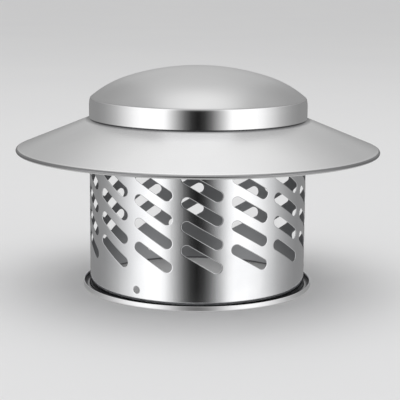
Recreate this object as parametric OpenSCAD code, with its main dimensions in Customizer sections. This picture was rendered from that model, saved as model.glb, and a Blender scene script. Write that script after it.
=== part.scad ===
// Chimney rain cap: a slotted sleeve that slides over a flue pipe and carries a hat made of a
// conical brim and a pressed dome. Everything is formed from thin stainless sheet.
// Z is up, the flat base of the foot stands at z = 0 and the centre line is the Z axis.
// The front of the cap faces -Y, and angles are counted from the front towards +X.

/* [Sheet] */
// Thickness of the sleeve, brim and dome sheet
sheet = 0.4; // [0.3:0.05:0.6]
// Thickness of the bracket strip
strip = 1.2; // [0.8:0.1:1.5]

/* [Sleeve] */
// Outer diameter of the sleeve
sleeve_d = 122; // [112:1:160]
// Height of the sleeve's top edge
sleeve_h = 99.8; // [97:0.2:120]
// How far the top of the sleeve is necked in, so that the hat's neck fits over it
top_step = 0.7; // [0.6:0.05:1.2]
// Height of the necked top, with the step below it
top_h = 23.3; // [21:0.1:25]
// Inner radius of the two bends of the necking
step_bend = 1; // [0.5:0.1:1]
// Slope of the necked sheet between its bends
step_slope = 30; // [20:1:36]
// Width inside the hollow foot, from the wall to the foot's outer edge
foot_gap = 3.6; // [3:0.1:5]
// Inner radius of the bend from the wall into the foot
foot_bend = 0.8; // [0.6:0.1:1.2]
// Inner radius of the tight bend at the foot's outer edge
rim_bend = 0.2; // [0.2:0.05:0.4]
// Angle that the sheet turns up and back through in that bend
rim_angle = 120; // [100:1:125]
// Inner radius of the roll that follows, back towards the wall
roll_r = 1.8; // [1.4:0.1:2.2]
// Angle of that roll
roll_angle = 45; // [20:1:50]
// Length of the flat end of the rolled sheet
roll_end = 0.4; // [0.2:0.1:0.6]
// Width of the lap where the sleeve's sheet overlaps itself at the back
lap_w = 10; // [8:0.5:10.5]
// Height of the lap's lower end, clear of the foot
lap_z = 3.6; // [3.4:0.1:5]
// Angle from the front to the lap's middle
seam_angle = 169.6; // [160:0.1:200]
// Number of spot welds down the lap
weld_spots = 9; // [4:1:12]
// Diameter of the mark that a spot weld leaves
weld_d = 3; // [2:0.1:4]
// Depth of that mark
weld_depth = 0.15; // [0.1:0.05:0.2]

/* [Slots] */
// Overall length of a slot
slot_len = 24.3; // [16:0.1:25]
// Width of a slot
slot_w = 5.8; // [3:0.1:7]
// Tilt of the slots below the horizontal
slot_tilt = 30; // [20:1:40]
// Number of slot columns round the sleeve
slot_columns = 14; // [8:1:14]
// Angle from one slot column to the next
column_angle = 25.1; // [24:0.1:25.2]
// Number of slot rows
slot_rows = 4; // [1:1:4]
// Height of the lowest row's centre
first_row_z = 27.2; // [24:0.1:29]
// Distance from one slot row to the next
row_pitch = 12.8; // [9:0.1:13]

/* [Fixing holes] */
// Diameter of the holes for the fixing screws
screw_hole_d = 4; // [3:0.1:5]
// Number of fixing holes
screw_holes = 3; // [1:1:4]
// Height of the fixing holes
screw_hole_z = 8.3; // [7:0.1:10]
// Angle from the front to the fixing hole at the front left
screw_hole_angle = -32.2; // [-40:0.1:-20]

/* [Brim] */
// Outer diameter of the brim
brim_d = 204; // [180:1:260]
// Fall of the brim below the horizontal
brim_slope = 22.2; // [15:0.1:30]
// Inner radius of the curl at the brim's edge
curl_r = 0.7; // [0.5:0.1:1.5]
// Angle that the edge sheet turns through in the curl
curl_angle = 250; // [200:5:260]
// Inner radius of the bend at the foot of the neck
root_bend = 0.5; // [0.4:0.1:0.8]
// Inner radius of the bend at the top of the neck
neck_bend = 0.8; // [0.5:0.1:1.5]
// Height of the neck from the root bend's centre to the underside of its lip
neck_h = 5.1; // [4:0.1:7]
// Width of the lip that turns inwards from the neck
lip_w = 12; // [12:0.1:15]

/* [Dome] */
// Height of the upright part of the dome's skirt
skirt_h = 6.3; // [6.2:0.1:12]
// Outer radius of the bow by which the skirt leans in above that
bow_r = 19; // [14:0.5:24]
// Angle that the skirt leans in through
bow_angle = 12.5; // [8:0.5:15]
// Outer radius of the shoulder between skirt and dome
shoulder_r = 1.4; // [1:0.1:2.5]
// Outer radius of the dome's flank
flank_r = 58; // [50:1:64]
// Slope of the dome where it leaves the shoulder
edge_slope = 40.3; // [37:0.1:44]
// Rise of the dome above the upright part of its skirt
dome_rise = 22.3; // [20:0.1:28]

/* [Brackets] */
// Width of a bracket
bracket_w = 12; // [9:0.5:14]
// Inner radius of a bracket's bend
bracket_bend = 1; // [0.8:0.1:1.2]
// Distance from the lip's underside down to the bracket's lower rivet
leg_drop = 11.6; // [10:0.1:14]
// Distance from the inside of the sleeve's top in to the bracket's upper rivet
ear_reach = 5.2; // [5:0.1:5.8]

/* [Rivets] */
// Diameter of a rivet's shank
rivet_d = 3.2; // [2.4:0.1:4]
// Diameter of a rivet's head
rivet_head_d = 6.4; // [5:0.1:7]
// Height of a rivet's head
rivet_head_h = 0.9; // [0.6:0.1:1.2]
// Diameter of a rivet's closed tail
rivet_tail_d = 4.6; // [4.2:0.1:5]
// Length of a rivet's closed tail
rivet_tail_h = 1.8; // [1.2:0.1:2.2]
// Diameter of the pit where the rivet's pin broke off
pin_pit_d = 1.8; // [1:0.1:2]
// Depth of that pit
pin_pit_h = 0.7; // [0.4:0.1:0.8]

/* [Clearances] */
// Gap between curved sheets that slide over each other
slide_gap = 0.05; // [0.02:0.01:0.1]
// Gap between the sleeve's top edge and the bend of the neck above it
seat_gap = 0.2; // [0.1:0.05:0.4]
// Room round a rivet's shank in its hole
rivet_room = 0.1; // [0.05:0.05:0.2]
// Room under a rivet's tail for the curve of the wall
curve_room = 0.06; // [0.05:0.01:0.1]

/* [Hidden] */
$fn = 96;

// Sleeve
sleeve_r = sleeve_d / 2;
sleeve_in = sleeve_r - sheet;
top_r = sleeve_r - top_step;
top_in = top_r - sheet;
step_z = sleeve_h - top_h;
step_flat = (top_step - (2 * step_bend + sheet) * (1 - cos(step_slope))) / sin(step_slope);
step_h = (2 * step_bend + sheet) * sin(step_slope) + step_flat * cos(step_slope);
lap_top = step_z - 0.5;
lap_angle = lap_w / sleeve_r * 180 / PI;
weld_pitch = (lap_top - lap_z) / weld_spots;
first_column = seam_angle - 180 - (slot_columns - 1) / 2 * column_angle;
cut_depth = 10;

// Brim, from the neck outwards
neck_in = top_r + slide_gap;
neck_out = neck_in + sheet;
lip_z = sleeve_h + seat_gap + neck_bend;
lip_r = neck_in - lip_w;
root_z = lip_z - neck_h;
root_r = neck_out + root_bend;
brim_start_r = root_r - (root_bend + sheet) * sin(brim_slope);
brim_len = (brim_d / 2 - curl_r - sheet - brim_start_r + curl_r * sin(brim_slope)) / cos(brim_slope);

// Dome: skirt, then bow, shoulder, flank and crown arcs, each tangent to the next
skirt_in = neck_out + slide_gap;
skirt_r = skirt_in + sheet;
skirt_z = root_z;
bow_z = skirt_z + skirt_h;
apex_z = bow_z + dome_rise;
arc_step = 1.5;
shoulder_x = skirt_r - bow_r + (bow_r - shoulder_r) * cos(bow_angle);
shoulder_z = bow_z + (bow_r - shoulder_r) * sin(bow_angle);
flank_x = shoulder_x - (flank_r - shoulder_r) * sin(edge_slope);
flank_z = shoulder_z - (flank_r - shoulder_r) * cos(edge_slope);
flank_drop = apex_z - flank_z;
crown_r = (flank_x * flank_x + flank_drop * flank_drop - flank_r * flank_r)
          / (2 * (flank_drop - flank_r));
crown_slope = atan2(flank_x, flank_z - apex_z + crown_r);

// Brackets and rivets
brackets = 4;
bracket_out = top_in - slide_gap;
bracket_in = bracket_out - strip;
bracket_rivet_z = lip_z - leg_drop;
hat_rivet_r = top_in - ear_reach;
rivet_r = rivet_d / 2;
rivet_hole_d = rivet_d + rivet_room;

// Part of a ring in the drawing plane, from one angle to another
module ring_arc(inner_r, outer_r, from, to) {
    steps = 8;
    reach = outer_r * 2;
    intersection() {
        difference() {
            circle(outer_r);
            circle(inner_r);
        }
        polygon(concat([[0, 0]], [for (i = [0 : steps])
            reach * [cos(from + (to - from) * i / steps), sin(from + (to - from) * i / steps)]]));
    }
}

// A sheet profile is drawn as a chain that starts at the origin, heads along +X and has the
// sheet on its left. Each link draws itself and carries the rest of the chain at its end.
module flat(length) {
    square([length, sheet]);
    translate([length, 0])
        children();
}

module bend_left(inner_r, turn) {
    translate([0, sheet + inner_r]) {
        ring_arc(inner_r, inner_r + sheet, -90, turn - 90);
        rotate(turn)
            translate([0, -sheet - inner_r])
                children();
    }
}

module bend_right(inner_r, turn) {
    translate([0, -inner_r]) {
        ring_arc(inner_r, inner_r + sheet, 90 - turn, 90);
        rotate(-turn)
            translate([0, inner_r])
                children();
    }
}

module turned(angle) {
    rotate([0, 0, angle])
        children();
}

module slot_shape() {
    straight = slot_len - slot_w;
    square([straight, slot_w], center = true);
    for (side = [-1, 1])
        translate([side * straight / 2, 0])
            circle(d = slot_w);
}

// Cuts a flat outline through the front wall, as a punch does
module punch(z) {
    translate([0, cut_depth / 2 - sleeve_r, z])
        rotate([90, 0, 0])
            linear_extrude(cut_depth)
                children();
}

module all_slots() {
    for (column = [0 : slot_columns - 1])
        turned(first_column + column * column_angle)
            for (row = [0 : slot_rows - 1])
                punch(first_row_z + row * row_pitch)
                    rotate(-slot_tilt)
                        slot_shape();
}

// Necked top, wall and hollow rolled foot, from the top edge down
module sleeve_profile() {
    translate([top_in, sleeve_h])
        rotate(-90)
            flat(sleeve_h - step_z - step_h)
                bend_left(step_bend, step_slope)
                    flat(step_flat)
                        bend_right(step_bend, step_slope)
                            flat(step_z - foot_bend - sheet)
                                bend_left(foot_bend, 90)
                                    flat(foot_gap - foot_bend - rim_bend)
                                        bend_left(rim_bend, rim_angle)
                                            bend_left(roll_r, roll_angle)
                                                flat(roll_end);
}

// The sheet's outer end steps out over the inner one, so that the bore stays round, and is spot
// welded to it. It is notched clear of the foot and of the necked top.
module lap_strip() {
    turned(seam_angle - lap_angle / 2 - 90)
        rotate_extrude(angle = lap_angle)
            translate([sleeve_r - sheet / 2, lap_z])
                square([sheet * 1.5, lap_top - lap_z]);
}

module weld_marks() {
    for (i = [0 : weld_spots - 1])
        turned(seam_angle)
            translate([0, weld_depth - sleeve_r - sheet, lap_z + (i + 0.5) * weld_pitch])
                rotate([90, 0, 0])
                    cylinder(h = cut_depth, d = weld_d);
}

module bracket_spots() {
    for (i = [1 : brackets])
        turned(bracket_angle(i))
            children();
}

// Brackets stand evenly round the sleeve, clear of the seam
function bracket_angle(i) = seam_angle + (i - 0.5) * 360 / brackets;

module slotted_sleeve() {
    color([0.78, 0.79, 0.8])
        difference() {
            union() {
                rotate_extrude()
                    sleeve_profile();
                lap_strip();
            }
            all_slots();
            for (i = [0 : screw_holes - 1])
                turned(screw_hole_angle + i * 360 / screw_holes)
                    punch(screw_hole_z)
                        circle(d = screw_hole_d);
            weld_marks();
            bracket_spots()
                punch(bracket_rivet_z)
                    circle(d = rivet_hole_d);
        }
}

// Lip, neck, cone and curled edge, from the lip's inner edge outwards
module brim_profile() {
    translate([lip_r, lip_z])
        flat(lip_w - neck_bend)
            bend_right(neck_bend, 90)
                flat(neck_h - neck_bend)
                    bend_left(root_bend, 90 - brim_slope)
                        flat(brim_len)
                            bend_right(curl_r, curl_angle);
}

module brim() {
    color([0.86, 0.86, 0.86])
        difference() {
            rotate_extrude()
                brim_profile();
            bracket_spots()
                translate([0, -hat_rivet_r, lip_z - sheet])
                    cylinder(h = 3 * sheet, d = rivet_hole_d);
        }
}

// Points along an arc, ends included
function arc_points(centre, radius, from, to) =
    let (steps = max(6, ceil(radius * abs(to - from) * PI / 180 / arc_step)))
    [for (i = [0 : steps])
        let (angle = from + (to - from) * i / steps)
        centre + radius * [cos(angle), sin(angle)]];

// Skirt, bow, shoulder, flank and crown, up to the centre line, drawn "inside" the outer face
function dome_face(inside) = concat(
    [[skirt_r - inside, skirt_z]],
    arc_points([skirt_r - bow_r, bow_z], bow_r - inside, 0, bow_angle),
    arc_points([shoulder_x, shoulder_z], shoulder_r - inside, bow_angle, 90 - edge_slope),
    arc_points([flank_x, flank_z], flank_r - inside, 90 - edge_slope, 90 - crown_slope),
    arc_points([0, apex_z - crown_r], crown_r - inside, 90 - crown_slope, 90));

module dome_profile() {
    outer = dome_face(0);
    inner = dome_face(sheet);
    polygon(concat(outer, [for (i = [len(inner) - 1 : -1 : 0]) inner[i]]));
}

module dome() {
    color([0.88, 0.88, 0.89])
        rotate_extrude()
            dome_profile();
}

// L-shaped section of a bracket: a leg down the wall and an ear under the lip
module bracket_section() {
    outer_bend = bracket_bend + strip;
    leg_h = leg_drop + bracket_w;
    ear_w = ear_reach + bracket_w;
    translate([bracket_in, lip_z - leg_h])
        square([strip, leg_h - outer_bend]);
    translate([bracket_out - outer_bend, lip_z - outer_bend])
        ring_arc(bracket_bend, outer_bend, 0, 90);
    translate([bracket_out - ear_w, lip_z - strip])
        square([ear_w - outer_bend, strip]);
}

// A strip with a round end about the origin
module round_end(length) {
    circle(d = bracket_w);
    translate([-bracket_w / 2, 0])
        square([bracket_w, length]);
}

module hat_bracket(i) {
    blank = ear_reach + bracket_w;
    color([0.62, 0.63, 0.65])
        turned(bracket_angle(i))
            difference() {
                intersection() {
                    rotate_extrude()
                        bracket_section();
                    translate([0, blank - sleeve_r, bracket_rivet_z])
                        rotate([90, 0, 0])
                            linear_extrude(blank)
                                round_end(leg_drop);
                    translate([0, -hat_rivet_r, bracket_rivet_z - bracket_w])
                        rotate(180)
                            linear_extrude(leg_drop + 2 * bracket_w)
                                round_end(ear_reach);
                }
                punch(bracket_rivet_z)
                    circle(d = rivet_hole_d);
                translate([0, -hat_rivet_r, lip_z - 2 * strip])
                    cylinder(h = 3 * strip, d = rivet_hole_d);
            }
}

module hat_bracket_1() { hat_bracket(1); }
module hat_bracket_2() { hat_bracket(2); }
module hat_bracket_3() { hat_bracket(3); }
module hat_bracket_4() { hat_bracket(4); }

// Half outline of a shallow round cap that stands on the X axis
module cap_outline(cap_r, cap_h) {
    ball_r = (cap_r * cap_r + cap_h * cap_h) / (2 * cap_h);
    intersection() {
        translate([0, cap_h - ball_r])
            circle(ball_r);
        square([cap_r, cap_h]);
    }
}

// Blind rivet with its head above z = 0 and its tail below the sheets it grips
module rivet(grip) {
    rotate_extrude()
        difference() {
            union() {
                cap_outline(rivet_head_d / 2, rivet_head_h);
                translate([0, -grip])
                    square([rivet_r, grip]);
                translate([0, -grip])
                    mirror([0, 1])
                        cap_outline(rivet_tail_d / 2, rivet_tail_h);
            }
            translate([0, rivet_head_h - pin_pit_h])
                square([pin_pit_d / 2, pin_pit_h]);
        }
}

// A rivet through the front wall with its head outside
module wall_rivet(head_r, tail_r) {
    translate([0, -head_r, 0])
        rotate([90, 0, 0])
            rivet(head_r - tail_r + curve_room);
}

module bracket_rivets() {
    color([0.55, 0.56, 0.58])
        bracket_spots()
            translate([0, 0, bracket_rivet_z])
                wall_rivet(top_r, bracket_in);
}

module hat_rivets() {
    color([0.55, 0.56, 0.58])
        bracket_spots()
            translate([0, -hat_rivet_r, lip_z + sheet])
                rivet(sheet + strip);
}

slotted_sleeve();
brim();
dome();
hat_bracket_1();
hat_bracket_2();
hat_bracket_3();
hat_bracket_4();
bracket_rivets();
hat_rivets();
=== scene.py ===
import math

import bpy
from mathutils import Matrix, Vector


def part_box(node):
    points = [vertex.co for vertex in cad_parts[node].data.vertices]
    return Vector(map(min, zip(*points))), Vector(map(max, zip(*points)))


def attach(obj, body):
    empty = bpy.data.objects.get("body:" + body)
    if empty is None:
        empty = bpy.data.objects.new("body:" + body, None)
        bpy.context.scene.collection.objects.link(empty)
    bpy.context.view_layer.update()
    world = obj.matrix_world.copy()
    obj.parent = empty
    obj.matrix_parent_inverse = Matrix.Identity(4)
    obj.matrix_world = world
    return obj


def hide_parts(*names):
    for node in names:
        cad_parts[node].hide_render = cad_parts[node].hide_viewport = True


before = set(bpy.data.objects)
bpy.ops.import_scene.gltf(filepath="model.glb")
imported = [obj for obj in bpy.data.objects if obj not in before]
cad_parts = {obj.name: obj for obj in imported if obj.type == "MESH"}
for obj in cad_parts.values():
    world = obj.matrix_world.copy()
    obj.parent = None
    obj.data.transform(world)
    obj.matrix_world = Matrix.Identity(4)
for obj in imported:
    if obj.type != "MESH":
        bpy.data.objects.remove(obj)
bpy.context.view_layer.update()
print("frame loaded:", len(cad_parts), "nodes")

mm = 0.001
sheet = 0.4 * mm  # thickness of the three formed sheets
tiny = 1e-6  # places closer than this count as the same
smoothAngle = 35  # edges sharper than this stay sharp, in degrees


# Modelling

lineStops = {"shortRun": 1.2 * mm, "longestStep": 6 * mm, "support": 0.3 * mm}


def runStops(length):
    # a short run is one step, and a longer one gets a support point close to each end
    if length <= lineStops["shortRun"]:
        return [length]
    count = max(1, math.ceil(length / lineStops["longestStep"]))
    edge = lineStops["support"]
    return [edge + (length - 2 * edge) * i / count for i in range(count + 1)] + [length]


# A line across a sheet, in the plane of radius and height, from a start and a heading. A run has a length.
# A bend has a radius, an angle and a number of steps, and turns left where its angle is positive.
def sheetLine(start, heading, moves):
    points = [start]
    for kind, size, *turn in moves:
        radius, height = points[-1]
        if kind == "run":
            for stop in runStops(size):
                points.append((radius + stop * math.cos(heading), height + stop * math.sin(heading)))
        else:
            angle, steps = turn
            side = math.copysign(1, angle)
            centreRadius = radius - side * size * math.sin(heading)
            centreHeight = height + side * size * math.cos(heading)
            for i in range(1, steps + 1):
                way = heading + angle * i / steps
                across = side * size * math.sin(way)
                along = side * size * math.cos(way)
                points.append((centreRadius + across, centreHeight - along))
            heading += angle
    return points


def pickPiece(piece):
    bpy.ops.object.select_all(action="DESELECT")
    piece.select_set(True)
    bpy.context.view_layer.objects.active = piece


def startEditing(piece):
    pickPiece(piece)
    bpy.ops.object.mode_set(mode="EDIT")


def selectPoints(piece, test):
    # picks the vertices that pass a test of their place
    bpy.ops.mesh.select_all(action="DESELECT")
    bpy.ops.mesh.select_mode(type="VERT")
    bpy.ops.object.mode_set(mode="OBJECT")
    for vertex in piece.data.vertices:
        vertex.select = test(vertex.co)
    bpy.ops.object.mode_set(mode="EDIT")


def spunShell(name, line, ringSteps, closed=False):
    # draws a round shell along its own line, ring by ring; a closed one ends in a point on the centre line
    bpy.ops.object.select_all(action="DESELECT")
    radius, height = line[0]
    bpy.ops.mesh.primitive_circle_add(vertices=ringSteps, radius=radius, location=(0, 0, height))
    piece = bpy.context.object
    piece.name = name
    bpy.ops.object.transform_apply(location=True, rotation=True, scale=True)
    bpy.ops.object.mode_set(mode="EDIT")
    bpy.ops.mesh.select_all(action="SELECT")
    for nextRadius, nextHeight in line[1:]:
        rise = (0, 0, nextHeight - height)
        bpy.ops.mesh.extrude_region_move(TRANSFORM_OT_translate={"value": rise})
        if closed and nextRadius < tiny:
            bpy.ops.mesh.merge(type="CENTER")
        else:
            grow = nextRadius / radius
            bpy.ops.transform.resize(value=(grow, grow, 1), center_override=(0, 0, nextHeight))
        radius, height = nextRadius, nextHeight
    bpy.ops.mesh.select_all(action="SELECT")
    bpy.ops.mesh.normals_make_consistent(inside=False)
    bpy.ops.object.mode_set(mode="OBJECT")
    return piece


def giveWall(piece, thickness):
    # the wall grows inwards from the face that was drawn
    pickPiece(piece)
    wall = piece.modifiers.new("wall", "SOLIDIFY")
    wall.thickness = thickness
    wall.offset = -1
    wall.use_even_offset = True
    bpy.ops.object.modifier_apply(modifier="wall")


def finishPiece(piece, look, node):
    pickPiece(piece)
    bpy.ops.object.shade_smooth_by_angle(angle=math.radians(smoothAngle))
    piece.data.materials.clear()
    piece.data.materials.append(look)
    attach(piece, "root")
    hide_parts(node)
    print(piece.name, "done,", len(piece.data.polygons), "faces")


# Shader maths

class Value:
    # a socket that takes part in plain expressions
    def __init__(self, graph, socket):
        self.graph = graph
        self.socket = socket

    def maths(self, operation, *values):
        return self.graph.add("ShaderNodeMath", {"operation": operation}, dict(enumerate(values)))

    def __add__(self, other):
        return self.maths("ADD", self, other)

    def __radd__(self, other):
        return self.maths("ADD", other, self)

    def __sub__(self, other):
        return self.maths("SUBTRACT", self, other)

    def __rsub__(self, other):
        return self.maths("SUBTRACT", other, self)

    def __mul__(self, other):
        return self.maths("MULTIPLY", self, other)

    def __rmul__(self, other):
        return self.maths("MULTIPLY", other, self)

    def __truediv__(self, other):
        return self.maths("DIVIDE", self, other)

    def __pow__(self, other):
        return self.maths("POWER", self, other)

    def __abs__(self):
        return self.maths("ABSOLUTE", self)


noiseMiddle = 0.5  # what a noise gives on average


class Graph:
    # one node tree; every node is added by the same method: type, settings, then the values of its sockets
    def __init__(self, tree):
        self.tree = tree

    def add(self, kind, settings=None, sockets=None, output=0):
        node = self.tree.nodes.new(kind)
        for key, setting in (settings or {}).items():
            if key == "stops":
                self.setStops(node.color_ramp, setting)
            else:
                setattr(node, key, setting)
        for key, value in (sockets or {}).items():
            self.feed(node.inputs[key], value)
        return Value(self, node.outputs[output])

    def setStops(self, ramp, stops):
        while len(ramp.elements) < len(stops):
            ramp.elements.new(1)
        for element, (place, shade) in zip(ramp.elements, stops):
            element.position = place
            element.color = (shade, shade, shade, 1)

    def feed(self, socket, value):
        if isinstance(value, Value):
            self.tree.links.new(value.socket, socket)
        else:
            socket.default_value = value

    def place(self, system="Object"):
        return self.add("ShaderNodeTexCoord", output=system)

    def split(self, vector):
        return [self.add("ShaderNodeSeparateXYZ", None, {0: vector}, axis) for axis in range(3)]

    def ringPlace(self, place):
        # distance from the centre line, and height
        side, ahead, height = self.split(place)
        return (side * side + ahead * ahead) ** 0.5, height

    def noise(self, place, scale, detail=2.0, roughness=0.5):
        sockets = {"Vector": place, "Scale": scale, "Detail": detail, "Roughness": roughness}
        return self.add("ShaderNodeTexNoise", None, sockets)

    def ramp(self, stops, value):
        return self.add("ShaderNodeValToRGB", {"stops": stops}, {0: value})

    def span(self, value, low, high, atLow=0.0, atHigh=1.0):
        # from one number at low to another at high, with a smooth step between
        sockets = {"Value": value, "From Min": low, "From Max": high, "To Min": atLow, "To Max": atHigh}
        return self.add("ShaderNodeMapRange", {"interpolation_type": "SMOOTHSTEP"}, sockets)

    def fade(self, value, low, high):
        return self.span(value, low, high, 1.0, 0.0)

    def band(self, value, low, high, soft):
        # 1 between two limits, with soft edges
        return self.span(value, low - soft, low + soft) * self.fade(value, high - soft, high + soft)

    def mixColour(self, share, first, second):
        # the colour sockets of a Mix node share their names, so they go by number
        sockets = {0: share, 6: first, 7: second}
        return self.add("ShaderNodeMix", {"data_type": "RGBA"}, sockets, 2)

    def bump(self, height):
        return self.add("ShaderNodeBump", None, {"Strength": 1.0, "Distance": 1.0, "Height": height})


def newLook(name):
    material = bpy.data.materials.new(name)
    material.use_nodes = True
    graph = Graph(material.node_tree)
    shader = material.node_tree.nodes["Principled BSDF"]
    return material, graph, shader


def feedMetal(graph, shader, tint, rough, height):
    graph.feed(shader.inputs["Base Color"], tint)
    graph.feed(shader.inputs["Roughness"], rough)
    graph.feed(shader.inputs["Normal"], graph.bump(height))
    shader.inputs["Metallic"].default_value = 1


# Studio: camera, floor and the soft light all round

# places and sizes in metres, angles in radians
camera = {
    "place": (-0.0027, -0.706, 0.178), "pitchDown": 0.1821, "turnLeft": -0.0058, "roll": 0.0086,
    "lens": 113.49, "sensor": 36, "clip": (0.01, 100),
}


def setCamera():
    bpy.ops.object.camera_add(location=camera["place"])
    eye = bpy.context.object
    eye.name = "camera"
    eye.data.lens = camera["lens"]
    eye.data.sensor_width = camera["sensor"]
    eye.data.clip_start, eye.data.clip_end = camera["clip"]
    turn = Matrix.Rotation(camera["turnLeft"], 4, "Z")
    tilt = Matrix.Rotation(math.pi / 2 - camera["pitchDown"], 4, "X")
    roll = Matrix.Rotation(camera["roll"], 4, "Z")
    eye.rotation_euler = (turn @ tilt @ roll).to_euler()
    bpy.context.scene.camera = eye


studio = {
    "floorSize": 30, "floorHeight": -0.05 * mm, "floorShade": 0.82, "floorRoughness": 0.9, "speckSize": 3,
    "speckShades": (0.97, 0.97, 0.98),
    "roofPower": 9, "roofSize": 2.0, "roofPlace": (0, -0.15, 1.6),
    "insidePower": 0.03, "insideSize": 90 * mm, "insidePlace": (0, 0, 92 * mm),
    # brightness of the tent's walls against the angle from the front, 0 to 1 for 0 to 180 degrees
    "walls": [(0, 0.01), (0.039, 0.04), (0.075, 0.14), (0.111, 0.36), (0.147, 0.64), (0.183, 0.98),
              (0.222, 1.12), (0.3, 1.1), (0.383, 0.92), (0.428, 0.75), (0.472, 0.6), (0.522, 0.43),
              (0.578, 0.32), (0.64, 0.245), (0.717, 0.205), (1, 0.2)],
    # brightness of the tent's roof against height above the horizon, along its middle and at its sides
    "roofMiddle": [(0.15, 0), (0.3, 0.47), (0.45, 0.56), (0.6, 0.69), (0.72, 0.78), (0.8, 0.8),
                   (0.86, 0.85), (0.92, 1.06), (1, 1.35)],
    "roofSides": [(0.15, 0.06), (0.3, 0.22), (0.45, 0.29), (0.6, 0.43), (0.72, 0.54), (0.8, 0.62),
                  (0.86, 0.6), (0.92, 0.48), (1, 0.33)],
    # the walls fade out between two heights, the roof's middle turns into its sides between two widths,
    # and below the horizon one brightness takes over
    "wallsFade": (0.2, 0.6), "sidesFrom": (0.3, 0.5), "belowFrom": (-0.5, -0.25), "below": 0.48,
    # away from the camera the roof leans and its middle narrows, and all of the tent is turned a little
    "roofLean": 0.1, "roofSpread": 0.2, "turn": 0.007,
}


def layFloor():
    bpy.ops.mesh.primitive_plane_add(size=studio["floorSize"], location=(0, 0, studio["floorHeight"]))
    floor = bpy.context.object
    floor.name = "floor"
    floor.visible_glossy = False
    material, graph, shader = newLook("paleFloor")
    shade = studio["floorShade"]
    speck = graph.noise(graph.place(), studio["speckSize"])
    dark = [shade * part for part in studio["speckShades"]]
    graph.feed(shader.inputs["Base Color"], graph.mixColour(speck, [shade] * 3 + [1], dark + [1]))
    shader.inputs["Roughness"].default_value = studio["floorRoughness"]
    floor.data.materials.append(material)


def hangLamp(name, place, size, power):
    bpy.ops.object.light_add(type="AREA", location=place)
    lamp = bpy.context.object
    lamp.name = name
    lamp.data.size = size
    lamp.data.energy = power
    lamp.visible_glossy = False
    return lamp


def hangTent():
    # a soft tent of light all round, with the bright and dark stretches that the steel mirrors
    world = bpy.data.worlds.new("tent")
    bpy.context.scene.world = world
    world.use_nodes = True
    graph = Graph(world.node_tree)
    side, ahead, up = graph.split(graph.place("Generated"))  # in a world, this is the ray's own direction
    side = side - studio["turn"] * ahead
    angle = side.maths("ARCTAN2", abs(side), ahead * -1) / math.pi
    rise = up + studio["roofLean"] * ahead
    walls = graph.ramp(studio["walls"], angle) * graph.fade(up, *studio["wallsFade"])
    spread = graph.span(abs(side) + studio["roofSpread"] * ahead, *studio["sidesFrom"])
    middle = graph.ramp(studio["roofMiddle"], rise) * (1 - spread)
    sides = graph.ramp(studio["roofSides"], rise) * spread
    above = graph.span(up, *studio["belowFrom"])
    shade = (walls + middle + sides) * above + studio["below"] * (1 - above)
    graph.feed(world.node_tree.nodes["Background"].inputs["Color"], shade)


setCamera()
layFloor()
hangLamp("roofLamp", studio["roofPlace"], studio["roofSize"], studio["roofPower"])
# what a bright room throws in through the slots, on to the floor inside the sleeve
insideLamp = hangLamp("insideLamp", studio["insidePlace"], studio["insideSize"], studio["insidePower"])
insideLamp.data.shape = "DISK"
insideLamp.visible_camera = False
hangTent()
bpy.context.scene.view_settings.view_transform = "Standard"
print("studio ready")

# Slotted sleeve: a sheet that is punched flat, drawn at its foot and its top, and rolled round

sleeve = {
    "radius": 61 * mm, "ringSteps": 240, "wallLow": 2.0 * mm, "wallHigh": 76.2 * mm, "top": 99.8 * mm,
    "slotLength": 24.3 * mm, "slotWidth": 5.8 * mm, "slotTilt": 30, "slotSteps": 32,
    "rows": 4, "rowPitch": 12.8 * mm, "lowestRow": 27.2 * mm, "columns": 14, "columnAngle": 25.1,
    "seamAngle": 169.6,
    "holeWidth": 4 * mm, "holeHeight": 8.3 * mm, "holeAngles": (-32.2, 87.8, -152.2), "holeSteps": 24,
    # a punched edge, drawn in: shares of its width still to go, and of its depth gained, at each step
    "rimWidth": 0.5 * mm, "rimDepth": 0.12 * mm, "rimSteps": ((0.6, 0.02), (0.25, 0.28), (0, 0.7)),
    "footBend": 0.8 * mm, "footGap": 3.6 * mm, "edgeBend": 0.3 * mm, "edgeAngle": 94,
    "lipHeight": 1.8 * mm, "rollRadius": 0.4 * mm, "rollAngle": 15, "rollEnd": 0.2 * mm,
    "topStep": 0.7 * mm, "stepBend": 1 * mm, "stepSlope": 30, "stepLow": 76.5 * mm,
    "flatMerge": 0.002 * mm, "rolledMerge": 0.003 * mm,
}
sleeveLook = {
    "steel": (0.9, 0.905, 0.915, 1), "shade": (0.83, 0.835, 0.85, 1), "roughness": 0.1,
    "smudgeSize": 34, "smudge": 0.05, "smudgeTint": (0.35, 0.7), "smudgeRough": (0.4, 0.75),
    "waveSize": 26, "waveHeight": 0.12 * mm, "grainSize": 900, "grainHeight": 0.004 * mm,
    # the inner face: a duller, rougher finish, with its colour darkened as painted shade for the shaded
    # inside; how far from the sheet's middle it gives way to the outer one, and where that steps in
    "dull": (0.34, 0.345, 0.355, 1), "dullRoughness": 0.42, "faceSoft": (-0.15 * mm, 0.1 * mm),
    "stepHeights": (76.4 * mm, 77.8 * mm),
    # the lip round the foot, on its outer face: a satin finish, and a lighter colour as painted highlight
    "lip": (0.98, 0.98, 0.985, 1), "lipRoughness": 0.32, "lipSoft": 0.1 * mm,
    # painted shade: a dark colour in the groove between the wall and the lip, and on the bend under the wall
    # as seen from inside
    "paintedFootShade": (0.1, 0.1, 0.105, 1), "grooveIn": 61.25 * mm, "grooveLow": 0.2 * mm, "grooveHigh": 1.7 * mm,
    "grooveSoft": 0.05 * mm, "grooveRoughness": 0.5, "roughFrom": (62.4 * mm, 62.6 * mm),
    "underHeights": (0.9 * mm, 1.5 * mm), "underRadii": (62.3 * mm, 62.6 * mm),
}
arc = sleeve["radius"] * math.pi / 180  # length of one degree round the sleeve
upright = (math.pi / 2, 0, 0)


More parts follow.
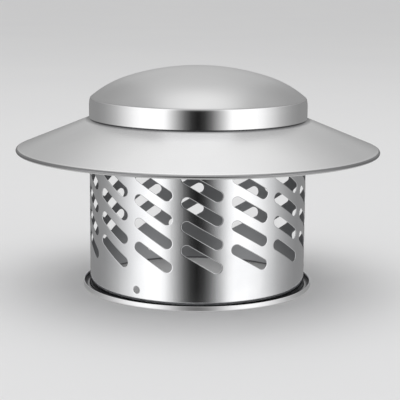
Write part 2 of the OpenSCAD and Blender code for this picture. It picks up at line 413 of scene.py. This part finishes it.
def polishedSteel():
    # bright outside and dull inside, the inside's colour darkened as painted shade, with a satin lip
    # lightened as painted highlight, and painted shade in the groove at the foot
    look = sleeveLook
    material, graph, shader = newLook("polishedSteel")
    place = graph.place()
    radius, height = graph.ringPlace(place)
    middle = sleeve["radius"] - sheet / 2 - sleeve["topStep"] * graph.span(height, *look["stepHeights"])
    outside = graph.span(radius - middle, *look["faceSoft"])
    lipMiddle = sleeve["radius"] + sleeve["footGap"] + sheet / 2
    lip = graph.span(radius, lipMiddle - look["lipSoft"], lipMiddle)

    smudge = graph.noise(place, look["smudgeSize"], detail=4)
    rough = look["roughness"] + look["smudge"] * graph.span(smudge, *look["smudgeRough"])
    rough = rough * outside + look["dullRoughness"] * (1 - outside)
    rough = rough * (1 - lip) + look["lipRoughness"] * lip
    grooved = graph.span(radius, *look["roughFrom"]) * (1 - lip)
    rough = rough * (1 - grooved) + look["grooveRoughness"] * grooved

    tint = graph.mixColour(graph.span(smudge, *look["smudgeTint"]), look["steel"], look["shade"])
    # the inner face's darker colour is painted shade, over its duller finish
    tint = graph.mixColour(outside, look["dull"], tint)
    # painted shade in the groove between the wall and the lip
    across = graph.band(radius, look["grooveIn"], lipMiddle, look["grooveSoft"])
    upward = graph.band(height, look["grooveLow"], look["grooveHigh"], look["grooveSoft"])
    tint = graph.mixColour(across * upward, tint, look["paintedFootShade"])
    # painted shade on the bend under the wall, seen from inside
    under = graph.fade(height, *look["underHeights"]) * graph.fade(radius, *look["underRadii"])
    tint = graph.mixColour(under, tint, look["paintedFootShade"])
    # painted highlight: the lip's outer face gets a lighter colour
    tint = graph.mixColour(lip, tint, look["lip"])

    wave = graph.noise(place, look["waveSize"], detail=1)
    grain = graph.noise(place, look["grainSize"], detail=3)
    feedMetal(graph, shader, tint, rough, wave * look["waveHeight"] + grain * look["grainHeight"])
    return material


def standingRing(name, steps, radius, turn=0.0):
    # a ring that stands in the plane of the flat sheet, ready to be edited
    bpy.ops.object.select_all(action="DESELECT")
    bpy.ops.mesh.primitive_circle_add(vertices=steps, radius=radius)
    piece = bpy.context.object
    piece.name = name
    piece.rotation_euler = (math.pi / 2, turn, 0)
    bpy.ops.object.transform_apply(location=True, rotation=True, scale=True)
    startEditing(piece)
    bpy.ops.mesh.select_all(action="SELECT")
    return piece


def drawRim(width, place):
    # pulls the edge of a punched hole in a little, from the ring that is selected
    radius = width / 2 + sleeve["rimWidth"]
    for share, depth in sleeve["rimSteps"]:
        nextRadius = width / 2 + share * sleeve["rimWidth"]
        step = (0, depth * sleeve["rimDepth"], 0)
        bpy.ops.mesh.extrude_region_move(TRANSFORM_OT_translate={"value": step})
        shrink = nextRadius / radius
        bpy.ops.transform.resize(value=(shrink, 1, shrink), center_override=place)
        radius = nextRadius


def repeatAlong(count, step):
    # makes a row out of what is selected, each copy one step on from the last, and selects everything
    for _ in range(1, count):
        bpy.ops.mesh.duplicate_move(TRANSFORM_OT_translate={"value": step})
    bpy.ops.mesh.select_all(action="SELECT")


def sheetBorder(low, high):
    # four edges of a flat sheet, from one corner (along, up) to the other
    middle = ((low[0] + high[0]) / 2, 0, (low[1] + high[1]) / 2)
    bpy.ops.mesh.select_all(action="DESELECT")
    bpy.ops.mesh.primitive_plane_add(size=1, location=middle, rotation=upright)
    bpy.ops.transform.resize(value=(high[0] - low[0], 1, high[1] - low[1]), center_override=middle)
    bpy.ops.mesh.delete(type="ONLY_FACE")


def fillSheet(piece, start, end, steps):
    # fills between the border and the holes, with a crease line at every step, so that the sheet rolls round
    selectPoints(piece, lambda co: abs(co.y) < tiny)
    bpy.ops.mesh.fill(use_beauty=True)
    for i in range(1, steps):
        bpy.ops.mesh.select_all(action="SELECT")
        bpy.ops.mesh.bisect(plane_co=(start + i * (end - start) / steps, 0, 0), plane_no=(1, 0, 0))
    bpy.ops.mesh.select_all(action="SELECT")
    bpy.ops.mesh.remove_doubles(threshold=sleeve["flatMerge"])


def punchedSheet():
    startX = (sleeve["seamAngle"] - 360) * arc
    endX = sleeve["seamAngle"] * arc
    straight = sleeve["slotLength"] - sleeve["slotWidth"]
    firstColumn = sleeve["seamAngle"] - 180 - (sleeve["columns"] - 1) / 2 * sleeve["columnAngle"]

    # one slot: a round hole that is pulled apart into a stadium and tilted
    halfStep = math.pi / sleeve["slotSteps"]
    radius = (sleeve["slotWidth"] / 2 + sleeve["rimWidth"]) / math.cos(halfStep)
    piece = standingRing("sleeveSheet", sleeve["slotSteps"], radius, halfStep)
    drawRim(sleeve["slotWidth"], (0, 0, 0))
    for side in (-1, 1):
        selectPoints(piece, lambda co: co.x * side > 0)
        bpy.ops.transform.translate(value=(side * straight / 2, 0, 0))
    bpy.ops.object.mode_set(mode="OBJECT")
    piece.rotation_euler = (0, math.radians(sleeve["slotTilt"]), 0)
    bpy.ops.object.transform_apply(location=True, rotation=True, scale=True)

    # rows and columns
    startEditing(piece)
    bpy.ops.mesh.select_all(action="SELECT")
    bpy.ops.transform.translate(value=(firstColumn * arc, 0, sleeve["lowestRow"]))
    repeatAlong(sleeve["rows"], (0, 0, sleeve["rowPitch"]))
    repeatAlong(sleeve["columns"], (sleeve["columnAngle"] * arc, 0, 0))

    # screw holes
    holeRadius = sleeve["holeWidth"] / 2 + sleeve["rimWidth"]
    for angle in sleeve["holeAngles"]:
        place = (angle * arc, 0, sleeve["holeHeight"])
        bpy.ops.mesh.select_all(action="DESELECT")
        bpy.ops.mesh.primitive_circle_add(
            vertices=sleeve["holeSteps"], radius=holeRadius, location=place, rotation=upright)
        drawRim(sleeve["holeWidth"], place)

    # edges of the sheet, with a point for every step round the sleeve
    sheetBorder((startX, sleeve["wallLow"]), (endX, sleeve["wallHigh"]))
    for height in (sleeve["wallLow"], sleeve["wallHigh"]):
        selectPoints(piece, lambda co: abs(co.z - height) < tiny)
        bpy.ops.mesh.subdivide(number_cuts=sleeve["ringSteps"] - 1)
    fillSheet(piece, startX, endX, sleeve["ringSteps"])
    return piece


def drawnEdge(piece, fromHeight, line):
    # pulls an edge of the flat sheet along a line, given as places outward from the wall and up
    selectPoints(piece, lambda co: abs(co.z - fromHeight) < tiny and abs(co.y) < tiny)
    for (out, height), (nextOut, nextHeight) in zip(line, line[1:]):
        step = (0, out - nextOut, nextHeight - height)
        bpy.ops.mesh.extrude_region_move(TRANSFORM_OT_translate={"value": step})


def rollRound(piece, radius):
    bpy.ops.object.mode_set(mode="OBJECT")
    roll = piece.modifiers.new("roll", "SIMPLE_DEFORM")
    roll.deform_method = "BEND"
    roll.deform_axis = "Z"
    low = min(vertex.co.x for vertex in piece.data.vertices)
    high = max(vertex.co.x for vertex in piece.data.vertices)
    roll.angle = (high - low) / radius
    bpy.ops.object.modifier_apply(modifier="roll")
    startEditing(piece)
    bpy.ops.mesh.select_all(action="SELECT")
    bpy.ops.transform.translate(value=(0, -radius, 0))
    bpy.ops.mesh.remove_doubles(threshold=sleeve["rolledMerge"])
    bpy.ops.mesh.normals_make_consistent(inside=False)
    bpy.ops.object.mode_set(mode="OBJECT")


def buildSleeve():
    piece = punchedSheet()
    bend = sleeve["footBend"]
    quarter = math.pi / 2
    foot = sheetLine((0, sleeve["wallLow"]), -quarter, [
        ("run", sleeve["wallLow"] - bend - sheet),
        ("bend", bend, quarter, 6),
        ("run", sleeve["footGap"] - bend - sleeve["edgeBend"]),
        ("bend", sleeve["edgeBend"], math.radians(sleeve["edgeAngle"]), 8),
        ("run", sleeve["lipHeight"]),
        ("bend", sleeve["rollRadius"], math.radians(sleeve["rollAngle"]), 5),
        ("run", sleeve["rollEnd"])])
    slope = math.radians(sleeve["stepSlope"])
    bendSum = 2 * sleeve["stepBend"] + sheet
    stepRun = (sleeve["topStep"] - bendSum * (1 - math.cos(slope))) / math.sin(slope)
    stepHeight = bendSum * math.sin(slope) + stepRun * math.cos(slope)
    top = sheetLine((0, sleeve["wallHigh"]), quarter, [
        ("run", sleeve["stepLow"] - sleeve["wallHigh"]),
        ("bend", sleeve["stepBend"] + sheet, slope, 4),
        ("run", stepRun),
        ("bend", sleeve["stepBend"], -slope, 4),
        ("run", sleeve["top"] - sleeve["stepLow"] - stepHeight)])
    drawnEdge(piece, sleeve["wallLow"], foot)
    drawnEdge(piece, sleeve["wallHigh"], top)
    rollRound(piece, sleeve["radius"])
    giveWall(piece, sheet)
    return piece


# the outer end of the sheet, lapped over the inner one at the back and spot welded to it
lap = {
    # its width is taken round its outer face, and its wall bites into the sheet beneath by a hair
    "width": 10.07 * mm, "low": 3.6 * mm, "high": 76 * mm, "steps": 10, "wall": 0.41 * mm,
    # a weld is a shallow dent: what each step leaves of its width, and adds to its depth
    "welds": 9, "weldWidth": 3 * mm, "weldDepth": 0.15 * mm, "weldSteps": 24,
    "weldRings": ((0.9, 0.5), (0.75, 0.4), (0.5, 0.1)),
}


def buildLap():
    radius = sleeve["radius"] + sheet
    middle = math.radians(sleeve["seamAngle"]) * radius
    piece = standingRing("lapSheet", lap["weldSteps"], lap["weldWidth"] / 2)
    for size, depth in lap["weldRings"]:
        bpy.ops.mesh.extrude_region_move(TRANSFORM_OT_translate={"value": (0, depth * lap["weldDepth"], 0)})
        bpy.ops.transform.resize(value=(size, 1, size), center_override=(0, 0, 0))
    bpy.ops.mesh.edge_face_add()
    pitch = (lap["high"] - lap["low"]) / lap["welds"]
    bpy.ops.mesh.select_all(action="SELECT")
    bpy.ops.transform.translate(value=(middle, 0, lap["low"] + pitch / 2))
    repeatAlong(lap["welds"], (0, 0, pitch))
    start = middle - lap["width"] / 2
    end = middle + lap["width"] / 2
    sheetBorder((start, lap["low"]), (end, lap["high"]))
    fillSheet(piece, start, end, lap["steps"])
    rollRound(piece, radius)
    giveWall(piece, lap["wall"])
    return piece


sleevePiece = buildSleeve()
lapPiece = buildLap()
pickPiece(sleevePiece)
lapPiece.select_set(True)
bpy.ops.object.join()
finishPiece(sleevePiece, polishedSteel(), "slotted_sleeve")

# Satin steel of the hat and of what holds it

satinLook = {
    "steel": (0.94, 0.94, 0.94, 1), "shade": (0.89, 0.89, 0.895, 1), "roughness": 0.34,
    "smudgeSize": 22, "smudge": 0.05, "smudgeTint": (0.3, 0.75),
    "grainSize": 1500, "grainHeight": 0.01 * mm, "grainRough": 0.04,
}


def satinSteel(name, tone=1.0, roughness=satinLook["roughness"], mark=None):
    # satin sheet; a piece's own marks take its tint, roughness and relief, and give them back changed
    material, graph, shader = newLook(name)
    place = graph.place()
    blotch = graph.noise(place, satinLook["smudgeSize"], detail=3)
    grain = graph.noise(place, satinLook["grainSize"], detail=3, roughness=0.7)
    steel, shade = [[tone * part for part in satinLook[key][:3]] + [1] for key in ("steel", "shade")]
    tint = graph.mixColour(graph.span(blotch, *satinLook["smudgeTint"]), steel, shade)
    rough = roughness + satinLook["smudge"] * (blotch - noiseMiddle)
    rough = rough + satinLook["grainRough"] * (grain - noiseMiddle)
    relief = grain * satinLook["grainHeight"]
    if mark:
        tint, rough, relief = mark(graph, place, tint, rough, relief)
    feedMetal(graph, shader, tint, rough, relief)
    return material


# Brim: lip, neck, cone and curled edge

brim = {
    "radius": 102 * mm, "slope": 22.2, "curlRadius": 0.7 * mm, "curlAngle": 250, "rootBend": 0.5 * mm,
    "neckBend": 0.8 * mm, "neckHeight": 5.1 * mm, "lipWidth": 12 * mm, "neckIn": 60.35 * mm,
    "ringSteps": 256, "roughness": 0.26,
    # painted highlight in a lighter strip next to the curl, painted shade on the curl's upper half, and
    # painted shade in the crevice round the dome
    "paintedStripHighlight": (0.98, 0.98, 0.98, 1), "highlightStripWidth": 1.5 * mm,
    "curl": (0.37, 0.37, 0.375, 1), "curlLead": 0.4 * mm, "curlFade": 0.25 * mm,
    "curlHeights": (-0.7 * mm, -0.1 * mm),
    "paintedCreviceShade": (0.3, 0.3, 0.305, 1), "creviceRadii": (61.5 * mm, 64 * mm),
}
curlOuter = brim["curlRadius"] + sheet  # outer radius of the curl


def brimMarks(graph, place, tint, rough, relief):
    radius, height = graph.ringPlace(place)
    curlFrom = brim["radius"] - curlOuter * (1 - math.sin(math.radians(brim["slope"]))) - brim["curlLead"]
    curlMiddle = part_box("brim")[0].z + curlOuter
    # painted highlight: a lighter strip just inside the curl
    paintedStripHighlight = graph.span(radius, curlFrom - brim["highlightStripWidth"], curlFrom)
    tint = graph.mixColour(paintedStripHighlight, tint, brim["paintedStripHighlight"])
    # painted shade: a dark colour on the curl's upper half
    curled = graph.span(radius, curlFrom, curlFrom + brim["curlFade"])
    curled = curled * graph.span(height, *[curlMiddle + step for step in brim["curlHeights"]])
    tint = graph.mixColour(curled, tint, brim["curl"])
    # painted shade in the crevice round the dome
    tint = graph.mixColour(graph.fade(radius, *brim["creviceRadii"]), tint, brim["paintedCreviceShade"])
    return tint, rough, relief


def buildBrim():
    slope = math.radians(brim["slope"])
    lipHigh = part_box("brim")[1].z
    coneStart = brim["neckIn"] + sheet + brim["rootBend"] - (brim["rootBend"] + sheet) * math.sin(slope)
    reach = brim["radius"] - curlOuter - coneStart + brim["curlRadius"] * math.sin(slope)
    line = sheetLine((brim["neckIn"] - brim["lipWidth"], lipHigh), 0, [
        ("run", brim["lipWidth"] - brim["neckBend"]),
        ("bend", brim["neckBend"] + sheet, -math.pi / 2, 6),
        ("run", brim["neckHeight"] - brim["neckBend"]),
        ("bend", brim["rootBend"], math.pi / 2 - slope, 5),
        ("run", reach / math.cos(slope)),
        ("bend", curlOuter, -math.radians(brim["curlAngle"]), 20)])
    piece = spunShell("brimSheet", line, brim["ringSteps"])
    giveWall(piece, sheet)
    return piece


brimPiece = buildBrim()
brimSteel = satinSteel("satinBrim", roughness=brim["roughness"], mark=brimMarks)
finishPiece(brimPiece, brimSteel, "brim")

# Dome: upright skirt, bow, shoulder, flank and crown

dome = {
    "skirtRadius": 61.2 * mm, "skirtHeight": 6.3 * mm, "bowRadius": 19 * mm, "bowAngle": 12.5,
    "shoulderRadius": 1.4 * mm, "flankRadius": 58 * mm, "edgeSlope": 40.3, "rise": 22.3 * mm,
    # tone darkens the dome's satin steel against the brim's: painted shade
    "ringSteps": 256, "tone": 0.7,
    # the skirt and the bow are polished, up to this far above the bow's upper edge
    "polished": (0.95, 0.95, 0.955, 1), "polishedRoughness": 0.1, "polishedOver": 0.25 * mm,
    "polishedSoft": 0.1 * mm,
}


def domeMarks(graph, place, tint, rough, relief):
    height = graph.split(place)[2]
    bowHeight = dome["bowRadius"] * math.sin(math.radians(dome["bowAngle"]))
    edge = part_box("dome")[0].z + dome["skirtHeight"] + bowHeight + dome["polishedOver"]
    satin = graph.span(height, edge - dome["polishedSoft"], edge + dome["polishedSoft"])
    tint = graph.mixColour(satin, dome["polished"], tint)
    rough = satin * rough + (1 - satin) * dome["polishedRoughness"]
    return tint, rough, relief * satin


def buildDome():
    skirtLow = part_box("dome")[0].z
    slope = math.radians(dome["edgeSlope"])
    bow = math.radians(dome["bowAngle"])
    bowLow = skirtLow + dome["skirtHeight"]
    bowInner = dome["bowRadius"] - dome["shoulderRadius"]
    shoulderX = dome["skirtRadius"] - dome["bowRadius"] + bowInner * math.cos(bow)
    shoulderZ = bowLow + bowInner * math.sin(bow)
    flankInner = dome["flankRadius"] - dome["shoulderRadius"]
    flankX = shoulderX - flankInner * math.sin(slope)
    drop = bowLow + dome["rise"] - shoulderZ + flankInner * math.cos(slope)
    crown = (flankX ** 2 + drop ** 2 - dome["flankRadius"] ** 2) / (2 * (drop - dome["flankRadius"]))
    crownSlope = math.atan2(flankX, crown - drop)
    line = sheetLine((dome["skirtRadius"], skirtLow), math.pi / 2, [
        ("run", dome["skirtHeight"]),
        ("bend", dome["bowRadius"], bow, 10),
        ("bend", dome["shoulderRadius"], math.pi / 2 - slope - bow, 8),
        ("bend", dome["flankRadius"], slope - crownSlope, 16),
        ("bend", crown, crownSlope, 24)])
    piece = spunShell("domeShell", line, dome["ringSteps"], closed=True)
    giveWall(piece, sheet)
    return piece


domePiece = buildDome()
# the dome's darker tone is painted shade
domeSteel = satinSteel("satinDome", tone=dome["tone"], mark=domeMarks)
finishPiece(domePiece, domeSteel, "dome")

# Brackets and rivets keep their own shape

stripLook = satinSteel("stripSteel")
for name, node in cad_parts.items():
    if "bracket" in name or "rivets" in name:
        node.data.materials.clear()
        node.data.materials.append(stripLook)

print("all pieces done")
